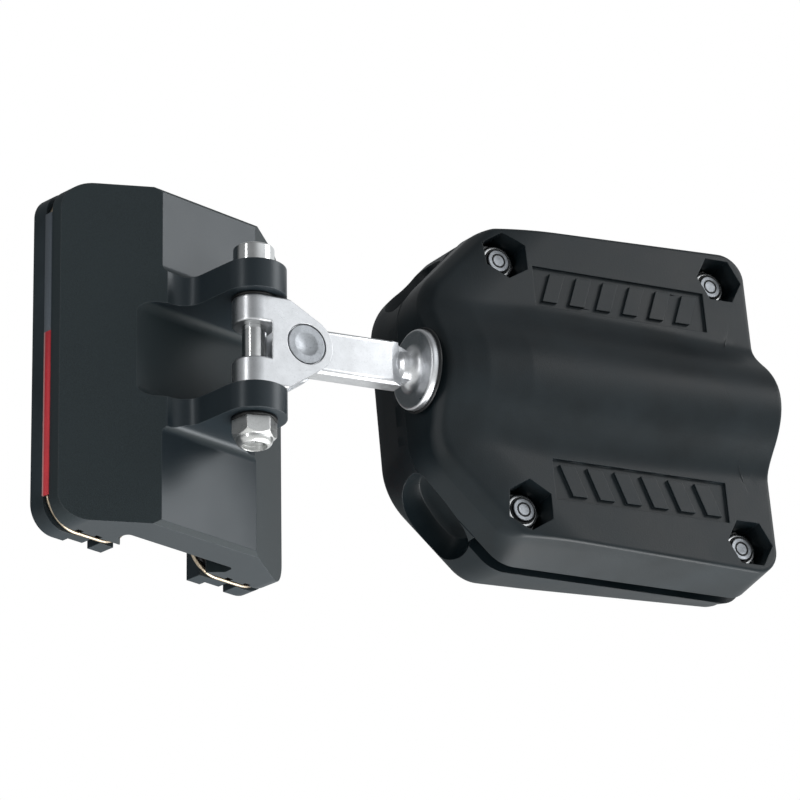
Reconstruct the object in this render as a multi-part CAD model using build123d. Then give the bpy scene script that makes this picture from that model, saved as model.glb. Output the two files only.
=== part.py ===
from build123d import *
import os
from math import atan2, cos, hypot, sin

# Mainsail batten car: a ball-bearing car that runs on a 27 mm mast track, a stainless toggle
# that swivels and pitches, and a two-part clamped receptacle for the end of a sail batten.
#
# Frame: +Z runs up the mast track, +X points away from the mast and Y lies across the track.
# The origin is the centre of the track slot, in the plane of the ball races.

# ---------------------------------------------------------------- driving dimensions (mm)
# Car extrusion, as its section is seen along the track
CAR_HALF_LENGTH = 45.5
CAR_HALF_WIDTH = 37.1
CROWN_X = 18.5              # machined crown beside the ears
CROWN_SKIN = 0.7            # unmachined crown stands this much higher between the ears
CROWN_HALF_WIDTH = 15.66
FLANK_FOOT_X = 4.5          # where each sloping flank meets its side face
SIDE_CORNER_R = 7.0         # corners of the side faces
END_CHAMFER = 1.2
CHANNEL_ROOF_X = 8.0
CHANNEL_HALF_WIDTH = 14.2   # between the legs, for a 27 mm track
UNDERCUT_HALF_WIDTH = 17.8  # wider part of the channel, for the track's head
UNDERCUT_X = 4.6
LIP_X = 1.4

# Ears and the recess between them
PIN_X = 35.1                # axis of the clevis pin
EAR_R = 8.25
EAR_ROOT_R = 5.4
TOP_EAR = (13.9, 21.6)      # lowest and highest z
BOTTOM_EAR = (-18.5, -11.4)
RECESS_X = 15.0
CUTTER_R = 2.7              # fillets left where the flats are machined

# Ball races
BALL_R = 3.0
RACE_CLEARANCE = 0.1
RACE_INNER_Y = 13.9
RACE_OUTER_Y = 32.3
RACE_END_Z = 40.7
RACE_CORNER_R = 5.5
BALLS_PER_RACE = 30
SLOT_TOP_X = 1.15           # slot between the body and each race guide
SLOT_BOTTOM_X = -1.25
GUIDE_BOTTOM_X = -6.0
GUIDE_NOTCHES = ((18.6, 20.3), (25.0, 26.5))    # y ranges cut into each end of a guide
GUIDE_NOTCH_DEPTH = 2.6
GUIDE_TAB_SETBACK = 1.0
CLIP_NOTCH_Y = (21.6, 27.6)
GUIDE_SCREW_Z = (-29.0, 0.0, 29.0)
GUIDE_SCREW_R = 1.5
GUIDE_SCREW_HEAD_R = 2.9
GUIDE_SCREW_SINK = GUIDE_SCREW_HEAD_R - GUIDE_SCREW_R
GUIDE_SCREW_REACH = 4.5     # how far up into the body the screws go

# Retaining wires and cover strips
WIRE_R = 0.6
WIRE_X = -0.6
WIRE_INNER_Y = 10.2
WIRE_OUTER_Y = 36.2
WIRE_END_Z = 44.9
WIRE_CORNER_R = 9.0
STRIP_HALF_LENGTH = 38.0
STRIP_DEPTH = 0.25
STRIP_PROUD = 0.25

# Clevis pin: an M6 socket cap screw with a domed lock nut
PIN_R = 3.0
FIT = 0.05                  # radial running clearance
HEAD_R = 5.2
HEAD_HEIGHT = 6.0
SOCKET_FLATS = 5.0
SOCKET_DEPTH = 3.4
NUT_FLATS = 10.0
NUT_HEX_HEIGHT = 4.6
NUT_DOME_HEIGHT = 1.9
NUT_DOME_R = 4.6
PIN_WASHER = (5.8, 0.8)     # outer radius and thickness
PIN_TIP = 1.2               # the thread ends this far short of the dome's end

# Toggle
TOGGLE_YAW = 75.34          # degrees from +X towards +Y, as stored
TOGGLE_HALF_HEIGHT = 12.05
TOGGLE_HALF_THICK = 5.5
TINE_Z = 4.8                # the gap between its tines is twice this
WAIST_R = 5.9
TOGGLE_SHOULDER_X = 6.7
NOSE_R = 7.4
LINK_PIN_X = 11.9           # from the clevis axis
LINK_PIN_RISE = 0.73        # above the toggle's middle
TOGGLE_WASHER_THICK = 0.5
TOGGLE_WASHER_R = 5.6
FORK_SLOT_X = 5.2
CROSS_HEAD_R = 5.1
CROSS_HEAD_THICK = 1.1
CROSS_RECESS_R = 5.45
CROSS_TAIL = 1.6            # tail past the rear cheek, for the clip

# Link bar
LINK_PITCH = 3.09           # degrees above level, as stored
LINK_LENGTH = 34.0          # cross pin to flange centre
BAR_HALF_HEIGHT = 5.9
BAR_HALF_THICK = 3.0
BAR_END_X = 28.4            # its front end, cut back by a long chamfer
BAR_END_CHAMFER = (2.8, 1.1)    # along the bar and across it
BAR_TAPER = (2.9, 3.9)      # length past the front end, and half-height there
BAR_EDGE_R = 1.2
NECK_R = 4.0
NECK_SHOULDER = 1.2         # chamfer where the round neck leaves the bar
NECK_FLARE_R = 6.7
FLANGE_R = 10.35
FLANGE_THICK = 2.0
STUD_R = 5.0
STUD_LENGTH = 32.0

# Batten receptacle, measured from the flange centre: x along the link, z up, -y to its front
RECEPTACLE_ROLL = -2.68     # degrees about the link's axis, as stored
NOSE_X = 1.7
TAIL_X = 101.0
FLARE_X = (25.0, 100.0)     # where each outline's half-heights are measured
PARTING_Y = 10.0            # back of the front shell
GAP = 4.0                   # clamping gap along the top and bottom
# Outlines by depth: y, nose x, nose chamfer (cut along z = x + this), half-heights, tail x, nose corner
FRONT_PARTING = (PARTING_Y, 1.7, 20.4, (46.2, 46.9), 101.0, 18.0)
FRONT_CREASE = (0.0, 2.5, 20.0, (44.0, 46.0), 100.8, 18.0)
FRONT_FACE = (-4.5, 8.0, 17.4, (43.0, 45.6), 100.6, 16.0)
REAR_PARTING = (PARTING_Y + GAP, 1.7, 20.4, (46.2, 46.9), 101.0, 10.0)
REAR_WALL = (22.0, 1.7, 21.9, (46.0, 44.2), 100.7, 10.0)
REAR_BACK = (26.0, 2.6, 21.9, (42.6, 40.0), 98.0, 10.0)
LONG_CORNER_R = 10.0        # where each nose chamfer meets a long edge
TAIL_CORNER_R = 7.0
BULGE = ((1.7, 9.2), (12.0, 11.3), (27.0, 12.9), (101.0, 15.0))    # x and radius
REAR_BULGE_Y = 14.0
NOSE_BLOCK_X = 12.0
NOSE_BLOCK_HALF = 23.0
WINDOW_AT = (11.5, 16.2, 32.0)  # middle of each webbing window
WINDOW_SIZE = (24.0, 14.0)  # length along the nose chamfer, and height
WINDOW_DEPTH = 5.5
BOLT_PLACES = ((27.9, 34.8), (92.8, 37.4))      # x and half-height of each pair
BOLT_R = 3.0
POCKET_FLATS = 11.8
POCKET_FLOOR_Y = 5.5
CLAMP_NUT_HEIGHT = 5.0
COUNTERBORE_R = 6.3
COUNTERBORE_Y = 21.0
CLAMP_HEAD_R = 5.0
CLAMP_WASHER = (5.9, 1.0)
NOSE_WALL_X = 9.0
COLLAR = (6.9, 3.0)         # outer radius and length
SOCKET_R = 11.5             # batten socket
SHOE_ROOM_R = 11.9
SHOE_ROOM = (26.5, 43.5)    # wider stretch that the shoe slides in
SLIDE_HALF = 7.2            # half-width of the square way that the tension nut slides in
SLIDE_X = 12.3              # where that way starts
TENSION_NUT = (15.5, 9.0)   # start and length along the stud
SHOE = (10.9, 30.0, 10.0)   # radius, start and length
SHOE_FLOOR = 6.5            # depth of the cup's floor from its start

# ---------------------------------------------------------------- where each part sits
TOGGLE_Z = (TOP_EAR[0] + BOTTOM_EAR[1]) / 2
TOGGLE_AT = Location((PIN_X, 0, TOGGLE_Z), (0, 0, TOGGLE_YAW))
LINK_AT = TOGGLE_AT * Location((LINK_PIN_X, 0, LINK_PIN_RISE), (0, -LINK_PITCH, 0))
RECEPTACLE_AT = LINK_AT * Location((LINK_LENGTH, 0, 0), (RECEPTACLE_ROLL, 0, 0))

FLANK_RUN = CROWN_X - FLANK_FOOT_X
FLANK_RISE = CAR_HALF_WIDTH - CROWN_HALF_WIDTH
FAR = 60.0                  # beyond any face, for cutting tools


# ---------------------------------------------------------------- helpers
def block(low, high):
    """Box between two corners."""
    size = [b - a for a, b in zip(low, high)]
    middle = [(a + b) / 2 for a, b in zip(low, high)]
    return Pos(*middle) * Box(*size)


def rod(radius, start, end, axis="z", at=(0, 0)):
    """Cylinder along an axis, from start to end, with its centre line at the given two coordinates."""
    length = end - start
    middle = (start + end) / 2
    if axis == "z":
        return Pos(at[0], at[1], middle) * Cylinder(radius, length)
    if axis == "y":
        return Pos(at[0], middle, at[1]) * Rot(90, 0, 0) * Cylinder(radius, length)
    return Pos(middle, at[0], at[1]) * Rot(0, 90, 0) * Cylinder(radius, length)


def hex_rod(flats, start, end, axis="z", at=(0, 0), turn=0.0):
    """Hexagonal bar, sized across its flats."""
    face = RegularPolygon(flats / 2, 6, major_radius=False, rotation=turn)
    bar = extrude(face, end - start)
    if axis == "z":
        return Pos(at[0], at[1], start) * bar
    return Pos(at[0], end, at[1]) * Rot(90, 0, 0) * bar


def mirrored_y(part):
    return part.mirror(Plane.XZ)


def race_path(inner_y, outer_y, end_z, corner_r, x):
    """Rounded rectangle in the plane of a race, on the +Y leg."""
    width = outer_y - inner_y
    outline = RectangleRounded(width, 2 * end_z, corner_r)
    plane = Plane(origin=(x, (inner_y + outer_y) / 2, 0), x_dir=(0, 1, 0), z_dir=(1, 0, 0))
    return (plane * outline).wire()


def ball_race():
    """Tunnel that the balls of the +Y leg run round in."""
    return tube(race_path(RACE_INNER_Y, RACE_OUTER_Y, RACE_END_Z, RACE_CORNER_R, 0), BALL_R + RACE_CLEARANCE)


def tube(path, radius):
    start = Plane(origin=path @ 0, z_dir=path % 0)
    return sweep(start * Circle(radius), path=path)


# ---------------------------------------------------------------- car
def flank_y(x):
    """Half-width of the sloping flank at height x."""
    return CROWN_HALF_WIDTH + (CROWN_X - x) * FLANK_RISE / FLANK_RUN


def side_outline():
    """The car's outline seen from its crown, as a prism along X."""
    face = Plane.YZ * RectangleRounded(2 * CAR_HALF_WIDTH, 2 * CAR_HALF_LENGTH, SIDE_CORNER_R)
    return Pos(-FAR / 2, 0, 0) * extrude(face, 2 * FAR)


def car_section():
    """Section of the extrusion, with the web that the ears are cut from."""
    crown = CROWN_X + CROWN_SKIN
    half = [(crown, flank_y(crown)), (FLANK_FOOT_X, CAR_HALF_WIDTH), (SLOT_BOTTOM_X, CAR_HALF_WIDTH)]
    outline = half + [(x, -y) for x, y in reversed(half)]
    section = make_face(Polyline(*outline, close=True))
    web = Pos((RECESS_X + PIN_X) / 2, 0) * Rectangle(PIN_X - RECESS_X, 2 * EAR_R)
    section = section + web + Pos(PIN_X, 0) * Circle(EAR_R)
    roots = [v for v in section.vertices() if abs(v.X - crown) < 0.01 and abs(abs(v.Y) - EAR_R) < 0.01]
    return fillet(roots, EAR_ROOT_R)


def channel_section():
    """The slot that the track runs in, with its undercut head space."""
    half = [(CHANNEL_ROOF_X, UNDERCUT_HALF_WIDTH - 0.4), (UNDERCUT_X, UNDERCUT_HALF_WIDTH),
            (LIP_X, CHANNEL_HALF_WIDTH), (-FAR / 4, CHANNEL_HALF_WIDTH)]
    face = make_face(Polyline(*half, *[(x, -y) for x, y in reversed(half)], close=True))
    return fillet([v for v in face.vertices() if v.X > 0], 1.4)


def flat_cut(low_x, low_z, high_z):
    """A machined flat: everything beyond low_x between two heights, with the cutter's corner radius."""
    corners = [(low_x, low_z), (FAR, low_z), (FAR, high_z), (low_x, high_z)]
    face = Plane.XZ * make_face(Polyline(*corners, close=True))
    inner = [v for v in face.vertices() if abs(v.X - low_x) < 0.01 and abs(v.Z) < CAR_HALF_LENGTH]
    return extrude(fillet(inner, CUTTER_R), FAR, both=True)


def end_chamfer(sign):
    """Wedge that breaks the edge between the crown and one end face."""
    end = sign * CAR_HALF_LENGTH
    points = [(CROWN_X - END_CHAMFER, end), (CROWN_X, end - sign * END_CHAMFER), (CROWN_X + 1, end)]
    return extrude(Plane.XZ * make_face(Polyline(*points, close=True)), FAR, both=True)


def make_car_body():
    body = Pos(0, 0, -CAR_HALF_LENGTH) * extrude(car_section(), 2 * CAR_HALF_LENGTH)
    body -= Pos(0, 0, -FAR) * extrude(channel_section(), 2 * FAR)
    body -= flat_cut(CROWN_X, TOP_EAR[1], FAR)
    body -= flat_cut(CROWN_X, -FAR, BOTTOM_EAR[0])
    body -= flat_cut(RECESS_X, BOTTOM_EAR[1], TOP_EAR[0])
    for sign in (-1, 1):
        body -= end_chamfer(sign)
    body &= side_outline()
    island_path = race_path(RACE_INNER_Y, RACE_OUTER_Y, RACE_END_Z, RACE_CORNER_R, SLOT_BOTTOM_X)
    island = extrude(make_face(island_path.edges()), SLOT_TOP_X - SLOT_BOTTOM_X, dir=(1, 0, 0))
    slot = block((SLOT_BOTTOM_X - 1, 1, -FAR), (SLOT_TOP_X, FAR, FAR)) - island
    cuts = slot + ball_race()
    race_middle = (RACE_INNER_Y + RACE_OUTER_Y) / 2
    for z in GUIDE_SCREW_Z:
        cuts += rod(GUIDE_SCREW_R, SLOT_BOTTOM_X - 1, GUIDE_SCREW_REACH + 1, "x", (race_middle, z))
    for y in CLIP_NOTCH_Y:
        for sign in (-1, 1):
            low, high = sorted((sign * (CAR_HALF_LENGTH - 2), sign * (CAR_HALF_LENGTH + 1)))
            cuts += block((SLOT_TOP_X - 0.5, y - 1, low), (SLOT_TOP_X + 1.1, y + 1, high))
    body = body - cuts - mirrored_y(cuts)
    return body - rod(PIN_R + FIT, BOTTOM_EAR[0] - 5, TOP_EAR[1] + 5, "z", (PIN_X, 0))


def screw_sink(y, z):
    """Cone of a countersunk head, with its face level with the guide's."""
    from_base = (Align.CENTER, Align.CENTER, Align.MIN)
    cone = Cone(GUIDE_SCREW_HEAD_R, GUIDE_SCREW_R, GUIDE_SCREW_SINK, align=from_base)
    return Pos(GUIDE_BOTTOM_X, y, z) * Rot(0, 90, 0) * cone


def make_race_guide():
    """Mast-side half of the race on the +Y leg, with notched ends."""
    low = (GUIDE_BOTTOM_X, CHANNEL_HALF_WIDTH, -CAR_HALF_LENGTH)
    guide = block(low, (SLOT_BOTTOM_X, CAR_HALF_WIDTH, CAR_HALF_LENGTH)) & side_outline()
    for sign in (-1, 1):
        for y0, y1 in GUIDE_NOTCHES:
            z0, z1 = sorted((sign * (CAR_HALF_LENGTH - GUIDE_NOTCH_DEPTH), sign * FAR))
            guide -= block((-FAR, y0, z0), (FAR, y1, z1))
        z0, z1 = sorted((sign * (CAR_HALF_LENGTH - GUIDE_TAB_SETBACK), sign * FAR))
        guide -= block((-FAR, GUIDE_NOTCHES[0][1], z0), (FAR, GUIDE_NOTCHES[1][0], z1))
    guide -= ball_race()
    race_middle = (RACE_INNER_Y + RACE_OUTER_Y) / 2
    for z in GUIDE_SCREW_Z:
        guide -= rod(GUIDE_SCREW_R, -FAR, 0, "x", (race_middle, z))
        guide -= screw_sink(race_middle, z)
    return guide


def make_guide_screws():
    """Countersunk screws that hold both guides, as separate solids."""
    race_middle = (RACE_INNER_Y + RACE_OUTER_Y) / 2
    screws = []
    for y in (-race_middle, race_middle):
        for z in GUIDE_SCREW_Z:
            screw = screw_sink(y, z)
            screw += rod(GUIDE_SCREW_R, GUIDE_BOTTOM_X + GUIDE_SCREW_SINK / 2, GUIDE_SCREW_REACH, "x", (y, z))
            screw -= Pos(GUIDE_BOTTOM_X, y, z) * Rot(0, 90, 0) * hex_rod(1.8, -1, 1.0)
            screws.append(screw)
    return screws


def make_race_balls():
    path = race_path(RACE_INNER_Y, RACE_OUTER_Y, RACE_END_Z, RACE_CORNER_R, 0)
    return [Pos(*(path @ (i / BALLS_PER_RACE))) * Sphere(BALL_R) for i in range(BALLS_PER_RACE)]


def make_retaining_wire():
    return tube(race_path(WIRE_INNER_Y, WIRE_OUTER_Y, WIRE_END_Z, WIRE_CORNER_R, WIRE_X), WIRE_R)


def make_cover_strip():
    low = (SLOT_BOTTOM_X, CAR_HALF_WIDTH - STRIP_DEPTH, -STRIP_HALF_LENGTH)
    return block(low, (SLOT_TOP_X, CAR_HALF_WIDTH + STRIP_PROUD, STRIP_HALF_LENGTH))


# ---------------------------------------------------------------- clevis pin, washer and nut
def make_clevis_pin():
    nut_top = BOTTOM_EAR[0] - PIN_WASHER[1]
    tip = nut_top - NUT_HEX_HEIGHT - NUT_DOME_HEIGHT + PIN_TIP
    pin = rod(PIN_R, tip, TOP_EAR[1] + 1, "z", (PIN_X, 0))
    head = rod(HEAD_R, TOP_EAR[1], TOP_EAR[1] + HEAD_HEIGHT, "z", (PIN_X, 0))
    head = chamfer(head.edges().group_by(Axis.Z)[-1], 0.5)
    socket_floor = TOP_EAR[1] + HEAD_HEIGHT - SOCKET_DEPTH
    return pin + head - hex_rod(SOCKET_FLATS, socket_floor, FAR, "z", (PIN_X, 0))


def make_clevis_washer():
    radius, thick = PIN_WASHER
    ring = rod(radius, BOTTOM_EAR[0] - thick, BOTTOM_EAR[0], "z", (PIN_X, 0))
    return ring - rod(PIN_R + FIT, -FAR, FAR, "z", (PIN_X, 0))


def make_clevis_nut():
    top = BOTTOM_EAR[0] - PIN_WASHER[1]
    hexagon = hex_rod(NUT_FLATS, top - NUT_HEX_HEIGHT, top, "z", (PIN_X, 0))
    cone = Cone(NUT_FLATS * 0.48, NUT_FLATS * 0.48 + NUT_HEX_HEIGHT, NUT_HEX_HEIGHT)
    cone = Pos(PIN_X, 0, top - NUT_HEX_HEIGHT / 2) * cone
    collar = rod(NUT_DOME_R, top - NUT_HEX_HEIGHT - NUT_DOME_HEIGHT, top - 1, "z", (PIN_X, 0))
    collar = fillet(collar.edges().group_by(Axis.Z)[0], 1.6)
    nut = (hexagon & cone) + collar
    return nut - rod(PIN_R, -FAR, FAR, "z", (PIN_X, 0))


# ---------------------------------------------------------------- toggle
def cheek_outline():
    """Side outline of the toggle: square shoulders that slope to a round nose about the cross pin."""
    h = TOGGLE_HALF_HEIGHT
    body = make_face(Polyline((-TOGGLE_HALF_THICK, -h), (TOGGLE_SHOULDER_X, -h), (TOGGLE_SHOULDER_X, h),
                              (-TOGGLE_HALF_THICK, h), close=True))
    sides = [body]
    for sign in (-1, 1):
        dx = LINK_PIN_X - TOGGLE_SHOULDER_X
        dz = LINK_PIN_RISE - sign * h
        # tangent from the shoulder's corner to the nose circle
        length = (hypot(dx, dz) ** 2 - NOSE_R ** 2) ** 0.5
        turn = atan2(dz, dx) + sign * atan2(NOSE_R, length)
        touch = (TOGGLE_SHOULDER_X + length * cos(turn), sign * h + length * sin(turn))
        wedge = [(TOGGLE_SHOULDER_X, sign * h), touch, (LINK_PIN_X, LINK_PIN_RISE), (TOGGLE_SHOULDER_X, 0)]
        sides.append(make_face(Polyline(*wedge, close=True)))
    return sides[0] + sides[1] + sides[2] + Pos(LINK_PIN_X, LINK_PIN_RISE) * Circle(NOSE_R)


def make_toggle_block():
    block_shape = extrude(Plane.XZ * cheek_outline(), TOGGLE_HALF_THICK, both=True)
    tine_end = block((-FAR, -FAR, -FAR), (0, FAR, FAR)) - rod(TOGGLE_HALF_THICK, -FAR, FAR)
    shape = block_shape - tine_end
    shape -= rod(WAIST_R, -TINE_Z, TINE_Z)
    shape = fillet(shape.edges().filter_by(Axis.Z, reverse=True).filter_by(GeomType.CIRCLE)
                   .filter_by(lambda e: abs(e.radius - TOGGLE_HALF_THICK) < 0.01), 0.6)
    bar_room = BAR_HALF_THICK + 0.1
    shape -= block((FORK_SLOT_X, -bar_room, -FAR), (FAR, bar_room, FAR))
    shape -= rod(PIN_R + FIT, -FAR, FAR)
    at = (LINK_PIN_X, LINK_PIN_RISE)
    shape -= rod(PIN_R, -FAR, FAR, "y", at)
    shape -= rod(CROSS_RECESS_R, -FAR, -TOGGLE_HALF_THICK + CROSS_HEAD_THICK, "y", at)
    return TOGGLE_AT * shape


def make_toggle_washers():
    """Thrust washers above and below the tines."""
    washers = []
    for sign in (-1, 1):
        z0, z1 = sorted((sign * TOGGLE_HALF_HEIGHT, sign * (TOGGLE_HALF_HEIGHT + TOGGLE_WASHER_THICK)))
        washers.append(TOGGLE_AT * (rod(TOGGLE_WASHER_R, z0, z1) - rod(PIN_R + FIT, -FAR, FAR)))
    return washers


def make_cross_pin():
    at = (LINK_PIN_X, LINK_PIN_RISE)
    front = -TOGGLE_HALF_THICK
    pin = rod(PIN_R, front, TOGGLE_HALF_THICK + CROSS_TAIL, "y", at)
    pin += rod(CROSS_HEAD_R, front, front + CROSS_HEAD_THICK, "y", at)
    groove = rod(PIN_R + 1, TOGGLE_HALF_THICK + 0.1, TOGGLE_HALF_THICK + 0.9, "y", at)
    groove -= rod(PIN_R - 0.5, -FAR, FAR, "y", at)
    dish = Pos(LINK_PIN_X, front - 9.0, LINK_PIN_RISE) * Sphere(9.6)
    return TOGGLE_AT * (pin - groove - dish)


def make_cross_pin_clip():
    at = (LINK_PIN_X, LINK_PIN_RISE)
    ring = rod(PIN_R + 1.6, TOGGLE_HALF_THICK + 0.1, TOGGLE_HALF_THICK + 0.9, "y", at)
    ring -= rod(PIN_R - 0.5, -FAR, FAR, "y", at)
    ring -= block((LINK_PIN_X - 1.7, 0, LINK_PIN_RISE), (LINK_PIN_X + 1.7, FAR, FAR))
    return TOGGLE_AT * ring


# ---------------------------------------------------------------- link bar
def make_link_bar():
    length = LINK_LENGTH
    side = Pos(BAR_END_X / 2, 0) * Rectangle(BAR_END_X, 2 * BAR_HALF_HEIGHT) + Circle(BAR_HALF_HEIGHT)
    bar = extrude(Plane.XZ * side, BAR_HALF_THICK, both=True)
    long_edges = bar.edges().filter_by(lambda e: abs(e.center().Y) > BAR_HALF_THICK - 0.01 and
                                       e.center().X < BAR_END_X - 0.01)
    bar = fillet(long_edges, BAR_EDGE_R)
    run, rise = BAR_END_CHAMFER
    for sign in (-1, 1):
        wedge = [(BAR_END_X - run, sign * BAR_HALF_THICK), (BAR_END_X, sign * (BAR_HALF_THICK - rise)),
                 (BAR_END_X + 1, sign * (BAR_HALF_THICK + 1))]
        bar -= extrude(make_face(Polyline(*wedge, close=True)), FAR, both=True)
    past, low = BAR_TAPER
    taper = make_face(Polyline((BAR_END_X - 0.9, -BAR_HALF_HEIGHT + 0.4), (BAR_END_X + past, -low),
                               (BAR_END_X + past, low), (BAR_END_X - 0.9, BAR_HALF_HEIGHT - 0.4), close=True))
    bar += extrude(Plane.XZ * taper, BAR_HALF_THICK - rise - 0.1, both=True)
    flange_face = length - FLANGE_THICK / 2
    root = (BAR_END_X - 0.5, NECK_R - NECK_SHOULDER)
    shoulder = (BAR_END_X + 0.5, NECK_R)
    waist = (BAR_END_X + 1.6, NECK_R)
    rim = (flange_face, NECK_FLARE_R)
    neck_profile = make_face([Line((root[0], 0), root), Line(root, shoulder), Line(shoulder, waist),
                              TangentArc(waist, rim, tangent=(1, 0)),
                              Line(rim, (rim[0], 0)), Line((rim[0], 0), (root[0], 0))])
    neck = revolve(Plane.XZ * neck_profile, Axis.X)
    flange = rod(FLANGE_R, flange_face, flange_face + FLANGE_THICK, "x")
    flange = fillet(flange.edges().group_by(Axis.X)[0], 0.8)
    stud_start = flange_face + FLANGE_THICK - 0.1
    stud = rod(STUD_R, stud_start, length + STUD_LENGTH, "x")
    stud = chamfer(stud.edges().group_by(Axis.X)[-1], 0.8)
    link = bar + neck + flange + stud - rod(PIN_R + FIT, -FAR, FAR, "y")
    return LINK_AT * link


def make_seat_washer():
    ring = rod(FLANGE_R + 0.6, FLANGE_THICK / 2, NOSE_X - 0.05, "x") - rod(STUD_R, -FAR, FAR, "x")
    return RECEPTACLE_AT * ring


def make_stud_collar():
    radius, length = COLLAR
    start = NOSE_WALL_X + 0.1
    collar = rod(radius, start, start + length, "x") - rod(STUD_R, -FAR, FAR, "x")
    flats = block((-FAR, -FAR, -6.2), (FAR, FAR, 6.2))
    return RECEPTACLE_AT * (collar & flats)


# ---------------------------------------------------------------- batten receptacle
def shell_face(y, nose, chamfer, heights, tail, nose_r):
    """The receptacle's outline at depth y."""
    flare = (heights[1] - heights[0]) / (FLARE_X[1] - FLARE_X[0])
    level = heights[0] - flare * FLARE_X[0]
    corner_x = (level - chamfer) / (1 - flare)
    upper = [(nose, nose + chamfer), (corner_x, corner_x + chamfer), (tail, level + flare * tail)]
    lower = [(x, -z) for x, z in reversed(upper)]
    radii = [nose_r, LONG_CORNER_R, TAIL_CORNER_R]
    wire = FilletPolyline(*upper, *lower, radius=radii + radii[::-1], close=True)
    return Pos(0, y, 0) * (Plane.XZ * make_face(wire))


def bulge(y):
    """Half-round back of the batten socket, tapering to the nose."""
    profile = [(BULGE[0][0], 0), *BULGE, (BULGE[-1][0], 0)]
    return Pos(0, y, 0) * revolve(make_face(Polyline(*profile, close=True)), Axis.X)


def bolt_places():
    return [(x, sign * z) for x, z in BOLT_PLACES for sign in (-1, 1)]


def pocket_turn(x):
    """The pockets near the nose stand on a corner and those near the tail on a flat."""
    return 0 if x < TAIL_X / 2 else 30


def stud_room():
    """Everything that the stud, its collar, the tension nut, the shoe and the batten need."""
    room = rod(STUD_R + FIT, -FAR, NOSE_WALL_X + 1, "x")
    start, end = SHOE_ROOM
    back = PARTING_Y + 0.5
    room += rod(SLIDE_HALF, NOSE_WALL_X, SLIDE_X, "x")
    room += block((NOSE_WALL_X, 0, -SLIDE_HALF), (SLIDE_X, back, SLIDE_HALF))
    room += block((SLIDE_X, -SLIDE_HALF, -SLIDE_HALF), (start, back, SLIDE_HALF))
    room += rod(SHOE_ROOM_R, start, end, "x") + block((start, 0, -SHOE_ROOM_R), (end, back, SHOE_ROOM_R))
    return room + rod(SOCKET_R, end, FAR * 3, "x") + block((end, 0, -SOCKET_R), (FAR * 3, back, SOCKET_R))


def webbing_window(sign):
    """Scoop through one nose corner, for the lashing that holds the sail."""
    length, height = WINDOW_SIZE
    scoop = extrude(Plane.XZ * SlotOverall(length, height), amount=WINDOW_DEPTH)
    scoop += extrude(Plane.XZ * SlotOverall(length, height), amount=-WINDOW_DEPTH * 2)
    x, y, z = WINDOW_AT
    return Pos(x, y, sign * z) * Rot(0, -sign * 45, 0) * Rot(-sign * 90, 0, 0) * scoop


def make_front_shell():
    levels = [shell_face(*FRONT_PARTING), shell_face(*FRONT_CREASE), shell_face(*FRONT_FACE)]
    shell = loft(levels, ruled=True)
    crown = bulge(0) & block((-FAR, -FAR, -FAR), (3 * FAR, PARTING_Y, FAR))
    shell = shell + crown - stud_room()
    for sign in (-1, 1):
        shell -= webbing_window(sign)
    for x, z in bolt_places():
        shell -= rod(BOLT_R + 0.1, -FAR, FAR, "y", (x, z))
        shell -= hex_rod(POCKET_FLATS, -FAR, POCKET_FLOOR_Y, "y", (x, z), pocket_turn(x))
    return RECEPTACLE_AT * shell


def make_rear_shell():
    levels = [shell_face(*REAR_PARTING), shell_face(*REAR_WALL), shell_face(*REAR_BACK)]
    shell = loft(levels, ruled=True)
    shell += bulge(REAR_BULGE_Y) & block((-FAR, PARTING_Y + GAP, -FAR), (3 * FAR, FAR, FAR))
    nose = extrude(shell_face(*REAR_PARTING), GAP - 0.05, dir=(0, -1, 0))
    shell += nose & block((-FAR, -FAR, -NOSE_BLOCK_HALF), (NOSE_BLOCK_X, FAR, NOSE_BLOCK_HALF))
    half = SOCKET_R - 0.5
    shell += block((SHOE_ROOM[1], PARTING_Y + 1.7, -half), (TAIL_X - 2, PARTING_Y + GAP + 1, half))
    for sign in (-1, 1):
        shell -= webbing_window(sign)
    shell -= rod(SHOE_ROOM_R, SHOE_ROOM[0], 3 * FAR, "x")
    for x, z in bolt_places():
        shell -= rod(BOLT_R + 0.1, -FAR, FAR, "y", (x, z))
        shell -= rod(COUNTERBORE_R, COUNTERBORE_Y, FAR, "y", (x, z))
    return RECEPTACLE_AT * shell


def make_clamp_bolts():
    bolts = []
    head_start = COUNTERBORE_Y + CLAMP_WASHER[1]
    for x, z in bolt_places():
        head = rod(CLAMP_HEAD_R, head_start, REAR_BACK[0], "y", (x, z))
        head = fillet(head.edges().group_by(Axis.Y)[-1], 0.8)
        bolt = rod(BOLT_R, POCKET_FLOOR_Y - CLAMP_NUT_HEIGHT - 0.8, head_start + 0.5, "y", (x, z)) + head
        bolt -= hex_rod(4.0, REAR_BACK[0] - 2.2, FAR, "y", (x, z))
        bolts.append(RECEPTACLE_AT * bolt)
    return bolts


def make_clamp_washers():
    radius, thick = CLAMP_WASHER
    washers = []
    for x, z in bolt_places():
        ring = rod(radius, COUNTERBORE_Y, COUNTERBORE_Y + thick, "y", (x, z))
        washers.append(RECEPTACLE_AT * (ring - rod(BOLT_R, -FAR, FAR, "y", (x, z))))
    return washers


def make_clamp_nuts():
    """Lock nuts at the bottom of the hexagonal pockets."""
    nuts = []
    for x, z in bolt_places():
        top = POCKET_FLOOR_Y - CLAMP_NUT_HEIGHT
        turn = pocket_turn(x)
        nut = hex_rod(NUT_FLATS, top + 1.6, POCKET_FLOOR_Y, "y", (x, z), turn)
        collar = rod(NUT_FLATS / 2 - 0.3, top, top + 2, "y", (x, z))
        nut += fillet(collar.edges().group_by(Axis.Y)[0], 0.8)
        nuts.append(RECEPTACLE_AT * (nut - rod(BOLT_R, -FAR, FAR, "y", (x, z))))
    return nuts


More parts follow.
